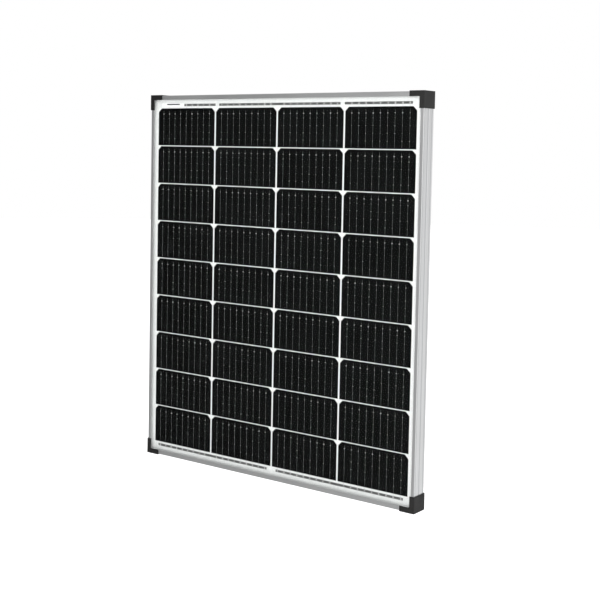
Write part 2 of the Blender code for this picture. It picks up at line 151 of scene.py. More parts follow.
def addBump(tree, shader, height, distance, strength=1.0):
    inputs = {"Height": height, "Distance": distance, "Strength": strength}
    bump = addNode(tree, "ShaderNodeBump", inputs)
    tree.links.new(bump.outputs["Normal"], shader.inputs["Normal"])


# Camera, light and floor

cameraSet = {"place": (1.46009, -1.91708, 0.29052), "turn": (86.3088, -1.0867, 36.3210),
             "lens": 68.437, "shiftY": -0.125}

lightSet = {
    "key": {"place": (1.30, -1.75, 0.75), "aim": (0.20, 0.0, 0.05), "size": (1.3, 1.5), "power": 26.5},
    "fill": {"place": (-0.8, -1.9, 1.7), "aim": (0.0, 0.0, 0.0), "size": (1.5, 1.3), "power": 9.0},
    "side": {"place": (2.2, 1.1, 0.6), "aim": (0.3, 0.0, 0.0), "size": (1.5, 1.8), "power": 5.0},
    "rear": {"place": (-1.2, 2.1, 1.4), "aim": (0.0, 0.0, 0.0), "size": (2.0, 2.0), "power": 8.0},
}

studioSet = {"darkSide": (-0.88, -0.475, 0.0), "dark": 0.10, "middle": 0.38, "bright": 0.80,
             "lift": 0.70, "floorGlow": 0.80, "floorRadius": 9.0}


def placeCamera():
    lens = bpy.data.cameras.new("camera")
    lens.lens = cameraSet["lens"]
    lens.shift_y = cameraSet["shiftY"]
    lens.clip_end = 50
    camera = bpy.data.objects.new("camera", lens)
    camera.location = cameraSet["place"]
    camera.rotation_euler = [math.radians(a) for a in cameraSet["turn"]]
    scene.collection.objects.link(camera)
    scene.camera = camera


def hangLights():
    for name, spec in lightSet.items():
        lamp = bpy.data.lights.new(name, "AREA")
        lamp.shape = "RECTANGLE"
        lamp.size, lamp.size_y = spec["size"]
        lamp.energy = spec["power"]
        light = bpy.data.objects.new(name, lamp)
        light.location = spec["place"]
        aim = Vector(spec["aim"]) - light.location
        light.rotation_euler = aim.to_track_quat("-Z", "Y").to_euler()
        scene.collection.objects.link(light)


def paintStudio():
    # A pale room that is darker towards the front left, white where the lens sees it directly.
    world = bpy.data.worlds.new("studio")
    scene.world = world
    world.use_nodes = True
    tree = world.node_tree
    back = tree.nodes["Background"]
    way = addNode(tree, "ShaderNodeTexCoord").outputs["Generated"]
    toDark = dot(tree, way, studioSet["darkSide"])
    ramp = addNode(tree, "ShaderNodeValToRGB", {"Fac": remap(tree, toDark, -1.0, 1.0)})
    stops = ramp.color_ramp.elements
    stops[0].color = grey(studioSet["bright"])
    stops[1].color = grey(studioSet["dark"])
    stops[1].position = 0.995
    stops.new(0.90).color = grey(studioSet["middle"])
    height = addNode(tree, "ShaderNodeSeparateXYZ", {0: way}).outputs["Z"]
    lift = remap(tree, height, 0.02, -0.30, 1.0, 1.0 + studioSet["lift"])
    shade = scaled(tree, ramp.outputs["Color"], lift)
    seen = addNode(tree, "ShaderNodeLightPath").outputs["Is Camera Ray"]
    tree.links.new(mixColour(tree, seen, shade, (1, 1, 1, 1)), back.inputs["Color"])


def layFloor():
    low = cadBox[0][2]
    bm = bmesh.new()
    bmesh.ops.create_circle(bm, cap_ends=True, segments=96, radius=studioSet["floorRadius"])
    bmesh.ops.translate(bm, verts=bm.verts, vec=(0, 0, low))
    mesh = bpy.data.meshes.new("floor")
    bm.to_mesh(mesh)
    bm.free()
    floor = bpy.data.objects.new("floor", mesh)
    scene.collection.objects.link(floor)
    finish, tree, shader, place = newFinish("paleFloor")
    feed(tree, shader, Base_Color=grey(0.9), Roughness=0.9, Emission_Color=grey(1),
         Emission_Strength=studioSet["floorGlow"])
    mesh.materials.append(finish)
    floor.visible_glossy = False
    floor.visible_transmission = False


scene.view_settings.view_transform = "Standard"
placeCamera()
hangLights()
paintStudio()
layFloor()
print("camera, lights and floor are in place")


# Effects that several finishes share

def makeExtrusionLines():
    # Fine lengthwise lines of a drawn rail. The vector's X runs along the rail.
    group, get, out = newGroup("extrusionLines", [("Vector", "Vector", None), ("Lines", "Float", 900.0)],
                               [("Tone", "Float"), ("Height", "Float")])
    stretch = vector(group, "MULTIPLY", get["Vector"], (0.012, 1.0, 1.0))
    fine = noise(group, stretch, get["Lines"], 3.0, 0.6)
    broad = noise(group, stretch, calc(group, "MULTIPLY", get["Lines"], 0.22), 2.0)
    both = calc(group, "ADD", calc(group, "MULTIPLY", fine, 0.6), calc(group, "MULTIPLY", broad, 0.4))
    group.links.new(remap(group, both, 0.35, 0.65), out["Tone"])
    group.links.new(both, out["Height"])
    return group


def makeMouldedSkin():
    # The fine spark-eroded texture of a moulding, with slow changes of gloss.
    group, get, out = newGroup("mouldedSkin", [("Vector", "Vector", None), ("Grain", "Float", 2200.0)],
                               [("Height", "Float"), ("Gloss", "Float")])
    grain = noise(group, get["Vector"], get["Grain"], 2.0, 0.7)
    flow = noise(group, get["Vector"], 26.0, 3.0)
    group.links.new(grain, out["Height"])
    mixed = calc(group, "ADD", calc(group, "MULTIPLY", flow, 0.7), calc(group, "MULTIPLY", grain, 0.3))
    group.links.new(remap(group, mixed, 0.3, 0.7), out["Gloss"])
    return group


def makeEdgeBands():
    # A mask of outer and inner edges, broken up by noise.
    group, get, out = newGroup("edgeBands", [("Vector", "Vector", None), ("Radius", "Float", 0.0008),
                                            ("Breaks", "Float", 240.0)], [("Mask", "Float")])
    rounded = addNode(group, "ShaderNodeBevel", {"Radius": get["Radius"]}, samples=4).outputs[0]
    flat = addNode(group, "ShaderNodeNewGeometry").outputs["Normal"]
    edge = remap(group, dot(group, rounded, flat), 0.99, 0.86)
    broken = remap(group, noise(group, get["Vector"], get["Breaks"], 4.0, 0.65), 0.35, 0.62)
    group.links.new(calc(group, "MULTIPLY", edge, broken), out["Mask"])
    return group


def makeDust():
    # A thin uneven film of dust, thicker low down.
    group, get, out = newGroup("dustFilm", [("Vector", "Vector", None), ("Amount", "Float", 0.1)],
                               [("Mask", "Float")])
    cloud = noise(group, get["Vector"], 7.0, 5.0, 0.6)
    speck = noise(group, get["Vector"], 420.0, 2.0, 0.7)
    height = addNode(group, "ShaderNodeSeparateXYZ", {0: get["Vector"]}).outputs["Z"]
    low = remap(group, height, cadBox[1][2], cadBox[0][2], 0.6, 1.0)
    specks = remap(group, speck, 0.3, 0.8, 0.6, 1.0)
    film = calc(group, "MULTIPLY", remap(group, cloud, 0.3, 0.75), specks)
    film = calc(group, "MULTIPLY", film, low)
    group.links.new(calc(group, "MULTIPLY", film, get["Amount"]), out["Mask"])
    return group


def makeCellGrid(array):
    # Place inside each cell: across, up, and how far inside its outline, in metres.
    results = [(label, "Float") for label in ("Across", "Up", "Inside", "Number")]
    group, get, out = newGroup("cellGrid", [("Vector", "Vector", None)], results)
    axes = addNode(group, "ShaderNodeSeparateXYZ", {0: get["Vector"]}).outputs
    local = []
    counted = []
    for axis, pitch, count in (("X", array["acrossPitch"], array["columns"]),
                               ("Z", array["upPitch"], array["rows"])):
        shifted = calc(group, "ADD", axes[axis], pitch * count / 2)
        local.append(calc(group, "SUBTRACT", calc(group, "FLOORED_MODULO", shifted, pitch), pitch / 2))
        counted.append(calc(group, "FLOOR", calc(group, "DIVIDE", shifted, pitch)))
    group.links.new(local[0], out["Across"])
    group.links.new(local[1], out["Up"])
    fromSide = calc(group, "SUBTRACT", array["cellWidth"] / 2, calc(group, "ABSOLUTE", local[0]))
    fromEnd = calc(group, "SUBTRACT", array["cellHeight"] / 2, calc(group, "ABSOLUTE", local[1]))
    wafer = calc(group, "ADD", local[1], array["cellHeight"] / 2)
    across2 = calc(group, "MULTIPLY", local[0], local[0])
    reach = calc(group, "SQRT", calc(group, "ADD", across2, calc(group, "MULTIPLY", wafer, wafer)))
    fromCut = calc(group, "SUBTRACT", array["waferRadius"], reach)
    inside = calc(group, "MINIMUM", calc(group, "MINIMUM", fromSide, fromEnd), fromCut)
    group.links.new(inside, out["Inside"])
    number = calc(group, "ADD", counted[0], calc(group, "MULTIPLY", counted[1], 7.0))
    group.links.new(number, out["Number"])
    return group


def measureArray():
    # Sizes of the array of cells, read from the cells themselves.
    first, across, down = (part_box("cell_c1_r1"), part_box("cell_c2_r1"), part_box("cell_c1_r2"))
    width = first[1].x - first[0].x
    height = first[1].z - first[0].z
    cornerCut = 0.0085
    return {"acrossPitch": across[0].x - first[0].x, "upPitch": first[0].z - down[0].z,
            "cellWidth": width, "cellHeight": height, "face": first[0].y, "columns": 4, "rows": 9,
            "waferRadius": math.hypot(width / 2, height - cornerCut)}


array = measureArray()
extrusionLines = makeExtrusionLines()
mouldedSkin = makeMouldedSkin()
edgeBands = makeEdgeBands()
dustFilm = makeDust()
cellGrid = makeCellGrid(array)
print("shared effects are ready")


# Finishes

# the groove colour and its strength below are painted shade for the groove floors
metalSet = {"face": (0.66, 0.665, 0.67, 1), "dull": (0.58, 0.585, 0.59, 1), "rough": (0.34, 0.46),
            "grooves": ((0.0044, 0.0028), (0.0178, 0.0062), (0.0328, 0.0052)), "paintedGrooveShade": 0.70,
            "paintedGrooveShadeColour": (0.42, 0.43, 0.44, 1), "edgeColour": (0.92, 0.93, 0.94, 1),
            "dustColour": (0.62, 0.61, 0.59, 1), "guardStand": 0.0015}


def makeAluminium(name, along):
    # Satin anodised extrusion. along is the axis that the rail runs on.
    finish, tree, shader, place = newFinish(name)
    axes = addNode(tree, "ShaderNodeSeparateXYZ", {0: place}).outputs
    across = axes["X" if along == "Z" else "Z"]
    run = addNode(tree, "ShaderNodeCombineXYZ", {0: axes[along], 1: axes["Y"], 2: across}).outputs[0]
    lines = useGroup(tree, extrusionLines, {"Vector": run})
    dust = useGroup(tree, dustFilm, {"Vector": place, "Amount": 0.25})["Mask"]
    edgeMask = useGroup(tree, edgeBands, {"Vector": place, "Radius": 0.0006, "Breaks": 90.0})["Mask"]
    colour = mixColour(tree, lines["Tone"], metalSet["dull"], metalSet["face"])
    # painted shade: the floors of the three grooves on the rail's outer face are darkened towards a grey colour
    depth = calc(tree, "SUBTRACT", axes["Y"], cadBox[0][1] + metalSet["guardStand"])
    paintedGrooveShade = 0.0
    for middle, width in metalSet["grooves"]:
        off = calc(tree, "ABSOLUTE", calc(tree, "SUBTRACT", depth, middle))
        band = remap(tree, off, width / 2, width / 3)
        paintedGrooveShade = calc(tree, "MAXIMUM", paintedGrooveShade, band)
    outer = cadBox[1][0 if along == "Z" else 2] - metalSet["guardStand"]
    sunk = remap(tree, calc(tree, "SUBTRACT", outer, calc(tree, "ABSOLUTE", across)), 0.0001, 0.0004)
    paintedGrooveShade = calc(tree, "MULTIPLY", calc(tree, "MULTIPLY", paintedGrooveShade, sunk), metalSet["paintedGrooveShade"])
    colour = mixColour(tree, paintedGrooveShade, colour, metalSet["paintedGrooveShadeColour"])
    colour = mixColour(tree, edgeMask, colour, metalSet["edgeColour"])
    colour = mixColour(tree, dust, colour, metalSet["dustColour"])
    rough = remap(tree, lines["Tone"], 0.0, 1.0, metalSet["rough"][1], metalSet["rough"][0])
    feed(tree, shader, Base_Color=colour, Metallic=1.0, Roughness=calc(tree, "ADD", rough, dust))
    addBump(tree, shader, lines["Height"], 0.00004)
    return finish


def makeMoulding(name, colour, edgeColour, rough, grain=2200.0, depth=0.00006, edge=0.0007):
    # Injection-moulded plastic with a fine skin and a separate colour along its edges: lighter wear on most
    # mouldings, painted shade on the corner guards, whose edges are painted darker.
    finish, tree, shader, place = newFinish(name)
    skin = useGroup(tree, mouldedSkin, {"Vector": place, "Grain": grain})
    edgeMask = useGroup(tree, edgeBands, {"Vector": place, "Radius": edge})["Mask"]
    dust = useGroup(tree, dustFilm, {"Vector": place, "Amount": 0.10})["Mask"]
    darker, lighter = ([level * change for level in colour[:3]] + [1] for change in (0.82, 1.18))
    base = mixColour(tree, skin["Gloss"], darker, lighter)
    base = mixColour(tree, calc(tree, "MULTIPLY", edgeMask, 0.8), base, edgeColour)
    base = mixColour(tree, dust, base, (0.40, 0.39, 0.37, 1))
    gloss = remap(tree, skin["Gloss"], 0.0, 1.0, rough + 0.07, rough - 0.07)
    feed(tree, shader, Base_Color=base, Roughness=gloss, Specular_IOR_Level=0.16)
    addBump(tree, shader, skin["Height"], depth)
    return finish


siliconSet = {"bare": (0.0008, 0.0010, 0.0011, 1), "printed": (0.0022, 0.0026, 0.0026, 1),
              "finger": (0.045, 0.048, 0.048, 1), "bus": (0.03, 0.032, 0.032, 1), "edge": 0.0011,
              "fingerPitch": 0.0013, "wires": 9, "wireSpacing": 0.0169, "busWidth": 0.0011}


def makeSilicon():
    # Dark textured single crystal with printed fingers and bus lines under each wire.
    finish, tree, shader, place = newFinish("darkSilicon")
    grid = useGroup(tree, cellGrid, {"Vector": place})
    printed = remap(tree, grid["Inside"], siliconSet["edge"], siliconSet["edge"] + 0.0004)
    chance = addNode(tree, "ShaderNodeTexWhiteNoise", {"W": grid["Number"]}, noise_dimensions="1D")
    tint = remap(tree, chance.outputs["Value"], 0.0, 1.0, 0.80, 1.20)
    cloud = noise(tree, place, 34.0, 4.0, 0.6)
    tone = calc(tree, "MULTIPLY", tint, remap(tree, cloud, 0.3, 0.7, 0.85, 1.15))
    colour = mixColour(tree, printed, siliconSet["bare"], siliconSet["printed"])
    colour = scaled(tree, colour, tone)
    step = calc(tree, "PINGPONG", grid["Up"], siliconSet["fingerPitch"] / 2)
    finger = calc(tree, "MULTIPLY", remap(tree, step, 0.00007, 0.00003), printed)
    half = siliconSet["wireSpacing"] / 2
    beside = calc(tree, "PINGPONG", grid["Across"], half)
    line = remap(tree, beside, siliconSet["busWidth"] / 2, siliconSet["busWidth"] / 4)
    bus = calc(tree, "MULTIPLY", line, printed)
    lastWire = calc(tree, "ABSOLUTE", grid["Across"])
    inner = remap(tree, lastWire, half * siliconSet["wires"], half * (siliconSet["wires"] - 1))
    bus = calc(tree, "MULTIPLY", bus, inner)
    colour = mixColour(tree, calc(tree, "MULTIPLY", finger, 0.30), colour, siliconSet["finger"])
    colour = mixColour(tree, calc(tree, "MULTIPLY", bus, 0.30), colour, siliconSet["bus"])
    feed(tree, shader, Base_Color=colour, Roughness=remap(tree, cloud, 0.3, 0.7, 0.42, 0.56),
         Specular_IOR_Level=0.05)
    addBump(tree, shader, calc(tree, "ADD", cloud, calc(tree, "MULTIPLY", finger, 2.0)), 0.00002)
    return finish


def makeTin():
    # Dull dipped tin over copper ribbon.
    finish, tree, shader, place = newFinish("tinnedCopper")
    ripple = noise(tree, place, 260.0, 4.0, 0.6)
    blotch = noise(tree, place, 60.0, 3.0)
    colour = mottled(tree, blotch, (0.110, 0.112, 0.112, 1), (0.175, 0.176, 0.174, 1), 0.35, 0.65)
    feed(tree, shader, Base_Color=colour, Metallic=0.5,
         Roughness=remap(tree, ripple, 0.3, 0.7, 0.38, 0.54))
    addBump(tree, shader, ripple, 0.00010)
    return finish


def makeWire():
    # Fine coated wire, darkened by its flux.
    finish, tree, shader, place = newFinish("coatedWire")
    run = noise(tree, place, 160.0, 3.0)
    colour = mottled(tree, run, (0.085, 0.088, 0.088, 1), (0.150, 0.154, 0.154, 1), 0.35, 0.65)
    feed(tree, shader, Base_Color=colour, Metallic=0.0,
         Roughness=remap(tree, run, 0.3, 0.7, 0.46, 0.62), Specular_IOR_Level=0.8)
    addBump(tree, shader, run, 0.00005)
    return finish


def makePadTin(name, dark, light):
    # Matt solder drops, grey where the flux dried.
    finish, tree, shader, place = newFinish(name)
    crust = noise(tree, place, 700.0, 3.0, 0.6)
    feed(tree, shader, Metallic=0.35, Roughness=remap(tree, crust, 0.3, 0.7, 0.42, 0.60),
         Base_Color=mottled(tree, crust, grey(dark), grey(light)))
    addBump(tree, shader, crust, 0.00010)
    return finish


def makeSolder():
    finish, tree, shader, place = newFinish("solderTin")
    grain = noise(tree, place, 900.0, 3.0, 0.6)
    feed(tree, shader, Metallic=1.0, Roughness=remap(tree, grain, 0.3, 0.7, 0.28, 0.48),
         Base_Color=mottled(tree, grain, (0.66, 0.67, 0.68, 1), (0.86, 0.87, 0.88, 1)))
    addBump(tree, shader, grain, 0.00012)
    return finish


def makeBacksheet():
    # White film, pressed faintly round the cells by the laminator.
    finish, tree, shader, place = newFinish("whiteBacksheet")
    grid = useGroup(tree, cellGrid, {"Vector": place})
    dust = useGroup(tree, dustFilm, {"Vector": place, "Amount": 0.06})["Mask"]
    pressed = remap(tree, grid["Inside"], -0.0008, 0.0012)
    mottle = noise(tree, place, 180.0, 4.0, 0.65)
    weave = noise(tree, place, 1400.0, 2.0, 0.6)
    colour = mottled(tree, mottle, (0.775, 0.78, 0.78, 1), (0.835, 0.84, 0.84, 1))
    colour = mixColour(tree, calc(tree, "MULTIPLY", pressed, 0.35), colour, (0.72, 0.73, 0.74, 1))
    colour = mixColour(tree, dust, colour, (0.55, 0.53, 0.50, 1))
    feed(tree, shader, Base_Color=colour, Roughness=remap(tree, mottle, 0.3, 0.7, 0.48, 0.62))
    height = calc(tree, "ADD", calc(tree, "MULTIPLY", pressed, 3.0), calc(tree, "MULTIPLY", weave, 0.5))
    addBump(tree, shader, height, 0.00008)
    return finish


def makeGlass():
    # Low-iron glass with a soft anti-reflection texture. Lamps reach what lies under it.
    finish, tree, shader, place = newFinish("solarGlass")
    dust = useGroup(tree, dustFilm, {"Vector": place, "Amount": 0.05})["Mask"]
    feed(tree, shader, Base_Color=(0.985, 0.988, 0.987, 1), Metallic=0.0,
         Roughness=calc(tree, "ADD", dust, 0.015), IOR=1.11, Transmission_Weight=1.0)
    addBump(tree, shader, noise(tree, place, 14.0, 2.0), 0.00004, 0.3)
    clear = addNode(tree, "ShaderNodeBsdfTransparent", {"Color": (0.985, 0.988, 0.987, 1)}).outputs[0]
    ray = addNode(tree, "ShaderNodeLightPath").outputs
    bounced = calc(tree, "MAXIMUM", ray["Is Diffuse Ray"], ray["Is Glossy Ray"])
    plain = calc(tree, "MAXIMUM", ray["Is Shadow Ray"], bounced)
    both = addNode(tree, "ShaderNodeMixShader", {0: plain, 1: shader.outputs[0], 2: clear}).outputs[0]
    tree.links.new(both, tree.nodes["Material Output"].inputs["Surface"])
    return finish


def makeFilm():
    # Clear encapsulant with a trace of haze.
    finish, tree, shader, place = newFinish("encapsulantFilm")
    haze = remap(tree, noise(tree, place, 11.0, 5.0, 0.6), 0.3, 0.8, 0.0, 0.003)
    feed(tree, shader, Base_Color=(0.10, 0.10, 0.095, 1), Roughness=0.6)
    clear = addNode(tree, "ShaderNodeBsdfTransparent", {"Color": (0.995, 0.997, 0.994, 1)}).outputs[0]
    both = addNode(tree, "ShaderNodeMixShader", {0: haze, 1: clear, 2: shader.outputs[0]}).outputs[0]
    tree.links.new(both, tree.nodes["Material Output"].inputs["Surface"])
    return finish


def makeInk():
    # Matt printing ink, a little thin in places.
    finish, tree, shader, place = newFinish("labelInk")
    thin = noise(tree, place, 900.0, 2.0)
    feed(tree, shader, Roughness=remap(tree, thin, 0.3, 0.7, 0.45, 0.65),
         Base_Color=mottled(tree, thin, (0.020, 0.021, 0.022, 1), (0.060, 0.062, 0.064, 1), 0.4))
    return finish


def makeSealant():
    # Cured white silicone, slightly glossy, with a finger-smoothed surface.
    finish, tree, shader, place = newFinish("whiteSealant")
    drag = noise(tree, place, 130.0, 4.0, 0.6)
    feed(tree, shader, Roughness=remap(tree, drag, 0.3, 0.7, 0.30, 0.48), Subsurface_Weight=0.1,
         Base_Color=mottled(tree, drag, (0.72, 0.73, 0.72, 1), (0.82, 0.83, 0.82, 1)))
    addBump(tree, shader, drag, 0.0003)
    return finish


def makeRubber():
    finish, tree, shader, place = newFinish("blackRubber")
    fine = noise(tree, place, 1700.0, 3.0, 0.7)
    bloom = noise(tree, place, 90.0, 4.0)
    feed(tree, shader, Roughness=remap(tree, fine, 0.3, 0.7, 0.66, 0.86),
         Base_Color=mottled(tree, bloom, grey(0.018), (0.045, 0.045, 0.044, 1), 0.4))
    addBump(tree, shader, fine, 0.00008)
    return finish


def makeLabel():
    # A white printed film, slightly glossy.
    finish, tree, shader, place = newFinish("labelFilm")
    fibre = noise(tree, place, 700.0, 3.0, 0.6)
    feed(tree, shader, Roughness=remap(tree, fibre, 0.3, 0.7, 0.35, 0.5),
         Base_Color=mixColour(tree, fibre, (0.80, 0.81, 0.81, 1), (0.90, 0.90, 0.90, 1)))
    addBump(tree, shader, fibre, 0.00002)
    return finish


aluminiumAcross = makeAluminium("anodisedAcross", "X")
aluminiumUpright = makeAluminium("anodisedUpright", "Z")
# the corner guards' edge colour is darker than their body: painted shade along their edges
guardBlack = makeMoulding("guardBlack", (0.0060, 0.0060, 0.0064, 1), (0.0022, 0.0022, 0.0022, 1), 0.60)
boxBlack = makeMoulding("boxBlack", (0.020, 0.020, 0.022, 1), (0.075, 0.075, 0.078, 1), 0.44, 1500.0)
blockGrey = makeMoulding("blockGrey", (0.20, 0.20, 0.19, 1), (0.34, 0.34, 0.33, 1), 0.5, 1800.0)
diodeBlack = makeMoulding("diodeBlack", grey(0.014), grey(0.05), 0.34, 2600.0, 0.00003)
darkSilicon = makeSilicon()
tinnedCopper = makeTin()
solderTin = makeSolder()
coatedWire = makeWire()
padTin = makePadTin("padTin", 0.45, 0.70)
jointTin = makePadTin("jointTin", 0.40, 0.56)
whiteBacksheet = makeBacksheet()
solarGlass = makeGlass()
encapsulantFilm = makeFilm()
whiteSealant = makeSealant()
blackRubber = makeRubber()
labelFilm = makeLabel()
labelInk = makeInk()
print("finishes are mixed")


def dress(name, finish):
    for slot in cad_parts[name].material_slots:
        slot.material = finish


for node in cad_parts:
    if node.startswith("cell_"):
        dress(node, darkSilicon)
    elif node.startswith("bus_ribbon"):
        dress(node, tinnedCopper)
    elif node.startswith("corner_guard"):
        dress(node, guardBlack)
    elif node.startswith(("junction_box", "cable_gland")):
        dress(node, boxBlack)
    elif node.startswith("bypass_diode"):
        dress(node, diodeBlack)
for node, finish in (("rail_top", aluminiumAcross), ("rail_bottom", aluminiumAcross),
                     ("rail_left", aluminiumUpright), ("rail_right", aluminiumUpright),
                     ("front_glass", solarGlass), ("encapsulant", encapsulantFilm),
                     ("backsheet", whiteBacksheet), ("lid_gasket", blackRubber),
                     ("terminal_block", blockGrey)):
    dress(node, finish)
print("frame, laminate and box are dressed")


# Pieces grown by geometry nodes

def newGeometryTree(name, inputs):
    tree = bpy.data.node_groups.new(name, "GeometryNodeTree")
    for label, kind, value in inputs:
        socket = tree.interface.new_socket(name=label, in_out="INPUT", socket_type="NodeSocket" + kind)
        if value is not None:
            socket.default_value = value
    tree.interface.new_socket(name="Geometry", in_out="OUTPUT", socket_type="NodeSocketGeometry")
    return tree, tree.nodes.new("NodeGroupInput").outputs, tree.nodes.new("NodeGroupOutput").inputs


def finishTree(tree, geometry, finish, out):
    real = geo(tree, "RealizeInstances", {"Geometry": geometry})
    painted = geo(tree, "SetMaterial", {"Geometry": real, "Material": finish})
    tree.links.new(painted, out[0])


def growPiece(name, tree, values):
    host = bpy.data.objects.new(name + "_host", bpy.data.meshes.new(name + "_host"))
    scene.collection.objects.link(host)
    step = host.modifiers.new("build", "NODES")
    step.node_group = tree
    for item in tree.interface.items_tree:
        if item.item_type == "SOCKET" and item.in_out == "INPUT" and item.name in values:
            step[item.identifier] = values[item.name]
    graph = bpy.context.evaluated_depsgraph_get()
    mesh = bpy.data.meshes.new_from_object(host.evaluated_get(graph), depsgraph=graph)
    mesh.name = name
    host.modifiers.remove(step)
    bpy.data.objects.remove(host)
    piece = bpy.data.objects.new(name, mesh)
    scene.collection.objects.link(piece)
    return piece


def fixPiece(piece, body, smooth=35):
    piece.data.shade_smooth()
    piece.data.set_sharp_from_angle(angle=math.radians(smooth))
    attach(piece, body)
    print("made", piece.name, len(piece.data.polygons), "faces")
    return piece


def toAxis(tree, value, axis):
    return addNode(tree, "ShaderNodeCombineXYZ", {axis: value}).outputs[0]


def lineUp(tree, count, pitch, axis):
    # points in a row, centred on the origin
    length = calc(tree, "MULTIPLY", calc(tree, "SUBTRACT", count, 1.0), pitch)
    start = calc(tree, "MULTIPLY", length, -0.5)
    ends = {"Count": count, "Start Location": toAxis(tree, start, axis),
            "Offset": toAxis(tree, pitch, axis)}
    return addNode(tree, "GeometryNodeMeshLine", ends, mode="OFFSET", count_mode="TOTAL").outputs["Mesh"]


def repeatOn(tree, points, instance, scale=None):
    inputs = {"Points": points, "Instance": instance}
    if scale is not None:
        inputs["Scale"] = scale
    return geo(tree, "InstanceOnPoints", inputs)


def shift(tree, geometry, place):
    return geo(tree, "Transform", {"Geometry": geometry, "Translation": place})


def jitter(tree, instances, reach, seed):
    # moves each copy by a random step of up to reach
    ends = {"Min": vector(tree, "MULTIPLY", reach, (-1, -1, -1)), "Max": reach, "Seed": seed}
    step = addNode(tree, "FunctionNodeRandomValue", ends, data_type="FLOAT_VECTOR").outputs["Value"]
    return geo(tree, "TranslateInstances", {"Instances": instances, "Translation": step})


# sockets that the wire and pad trees share
arrayInputs = [("Columns", "Int", 4), ("Rows", "Int", 9), ("Column Pitch", "Float", 0.17),
               ("Row Pitch", "Float", 0.085), ("Wires", "Int", 9), ("Wire Spacing", "Float", 0.0169),
               ("Centre", "Vector", None), ("Jitter", "Vector", None), ("Finish", "Material", None)]


def overCells(tree, get, cell):
    # repeats what one cell carries over every column and row
    row = repeatOn(tree, lineUp(tree, get["Columns"], get["Column Pitch"], "X"), cell)
    return repeatOn(tree, lineUp(tree, get["Rows"], get["Row Pitch"], "Z"), row)


def makeWireTree():
    # round wires laid side by side down every cell of every string
    tree, get, out = newGeometryTree("cellWires", arrayInputs + [
        ("Wire Radius", "Float", 0.0002), ("Wire Top", "Float", 0.04), ("Wire Bottom", "Float", -0.04),
        ("Seed", "Int", 3)])
    ends = {"Start": toAxis(tree, get["Wire Top"], "Z"), "End": toAxis(tree, get["Wire Bottom"], "Z")}
    line = geo(tree, "CurvePrimitiveLine", ends)
    ring = geo(tree, "CurvePrimitiveCircle", {"Resolution": 6, "Radius": get["Wire Radius"]})
    wire = geo(tree, "CurveToMesh", {"Curve": line, "Profile Curve": ring, "Fill Caps": True})
    cell = repeatOn(tree, lineUp(tree, get["Wires"], get["Wire Spacing"], "X"), wire)
    cell = jitter(tree, cell, get["Jitter"], get["Seed"])
    wires = overCells(tree, get, cell)
    finishTree(tree, shift(tree, wires, get["Centre"]), get["Finish"], out)
    return tree


def makePadTree():
    # flattened drops of solder that hold each wire to its cell
    tree, get, out = newGeometryTree("solderPads", arrayInputs + [
        ("Pads", "Int", 4), ("Pad Pitch", "Float", 0.015), ("Pad Size", "Vector", None), ("Seed", "Int", 5)])
    ball = geo(tree, "MeshUVSphere", {"Segments": 8, "Rings": 4, "Radius": 0.5})
    drop = geo(tree, "Transform", {"Geometry": ball, "Scale": get["Pad Size"]})
    wires = lineUp(tree, get["Wires"], get["Wire Spacing"], "X")
    cell = repeatOn(tree, wires, lineUp(tree, get["Pads"], get["Pad Pitch"], "Z"))
    points = geo(tree, "RealizeInstances", {"Geometry": overCells(tree, get, cell)})
    sizes = {2: 0.75, 3: 1.2, "Seed": get["Seed"]}  # the least and the most
    size = addNode(tree, "FunctionNodeRandomValue", sizes).outputs[1]
    drops = jitter(tree, repeatOn(tree, points, drop, size), get["Jitter"], get["Seed"])
    finishTree(tree, shift(tree, drops, get["Centre"]), get["Finish"], out)
    return tree


def makeBeadTree():
    # a bead of sealant run round a rectangle in the panel's plane
    tree, get, out = newGeometryTree("sealantBead", [
        ("Width", "Float", 0.6), ("Height", "Float", 0.7), ("Corner", "Float", 0.004),
        ("Bead Width", "Float", 0.003), ("Bead Height", "Float", 0.002), ("Step", "Float", 0.004),
        ("Wander", "Float", 0.0002), ("Base", "Float", 0.0), ("Centre", "Vector", None),
        ("Finish", "Material", None)])
    path = geo(tree, "CurvePrimitiveQuadrilateral", {"Width": get["Width"], "Height": get["Height"]})
    path = geo(tree, "FilletCurve", {"Curve": path, "Radius": get["Corner"], "Count": 6,
                                     "Limit Radius": True}, mode="POLY")
    path = geo(tree, "ResampleCurve", {"Curve": path, "Length": get["Step"]}, mode="LENGTH")
    drift = addNode(tree, "ShaderNodeTexNoise", {"Scale": 60.0, "Detail": 2.0}).outputs["Color"]
    away = scaled(tree, vector(tree, "SUBTRACT", drift, (0.5, 0.5, 0.5)), get["Wander"])
    path = geo(tree, "SetPosition", {"Geometry": path, "Offset": away})
    ring = geo(tree, "CurvePrimitiveCircle", {"Resolution": 10, "Radius": 0.5})
    size = {0: get["Bead Width"], 1: get["Bead Height"], 2: 1.0}
    size = addNode(tree, "ShaderNodeCombineXYZ", size).outputs[0]
    ring = geo(tree, "Transform", {"Geometry": ring, "Scale": size})
    bead = geo(tree, "CurveToMesh", {"Curve": path, "Profile Curve": ring})
    bead = geo(tree, "Transform", {"Geometry": bead, "Rotation": (math.pi / 2, 0, 0),
                                   "Translation": get["Centre"]})
    axes = addNode(tree, "ShaderNodeSeparateXYZ", {0: geo(tree, "InputPosition")}).outputs
    pressed = calc(tree, "MAXIMUM", axes[1], get["Base"])  # the bead lies flat on its base
    place = addNode(tree, "ShaderNodeCombineXYZ", {0: axes[0], 1: pressed, 2: axes[2]}).outputs[0]
    bead = geo(tree, "SetPosition", {"Geometry": bead, "Position": place})
    finishTree(tree, bead, get["Finish"], out)
    return tree


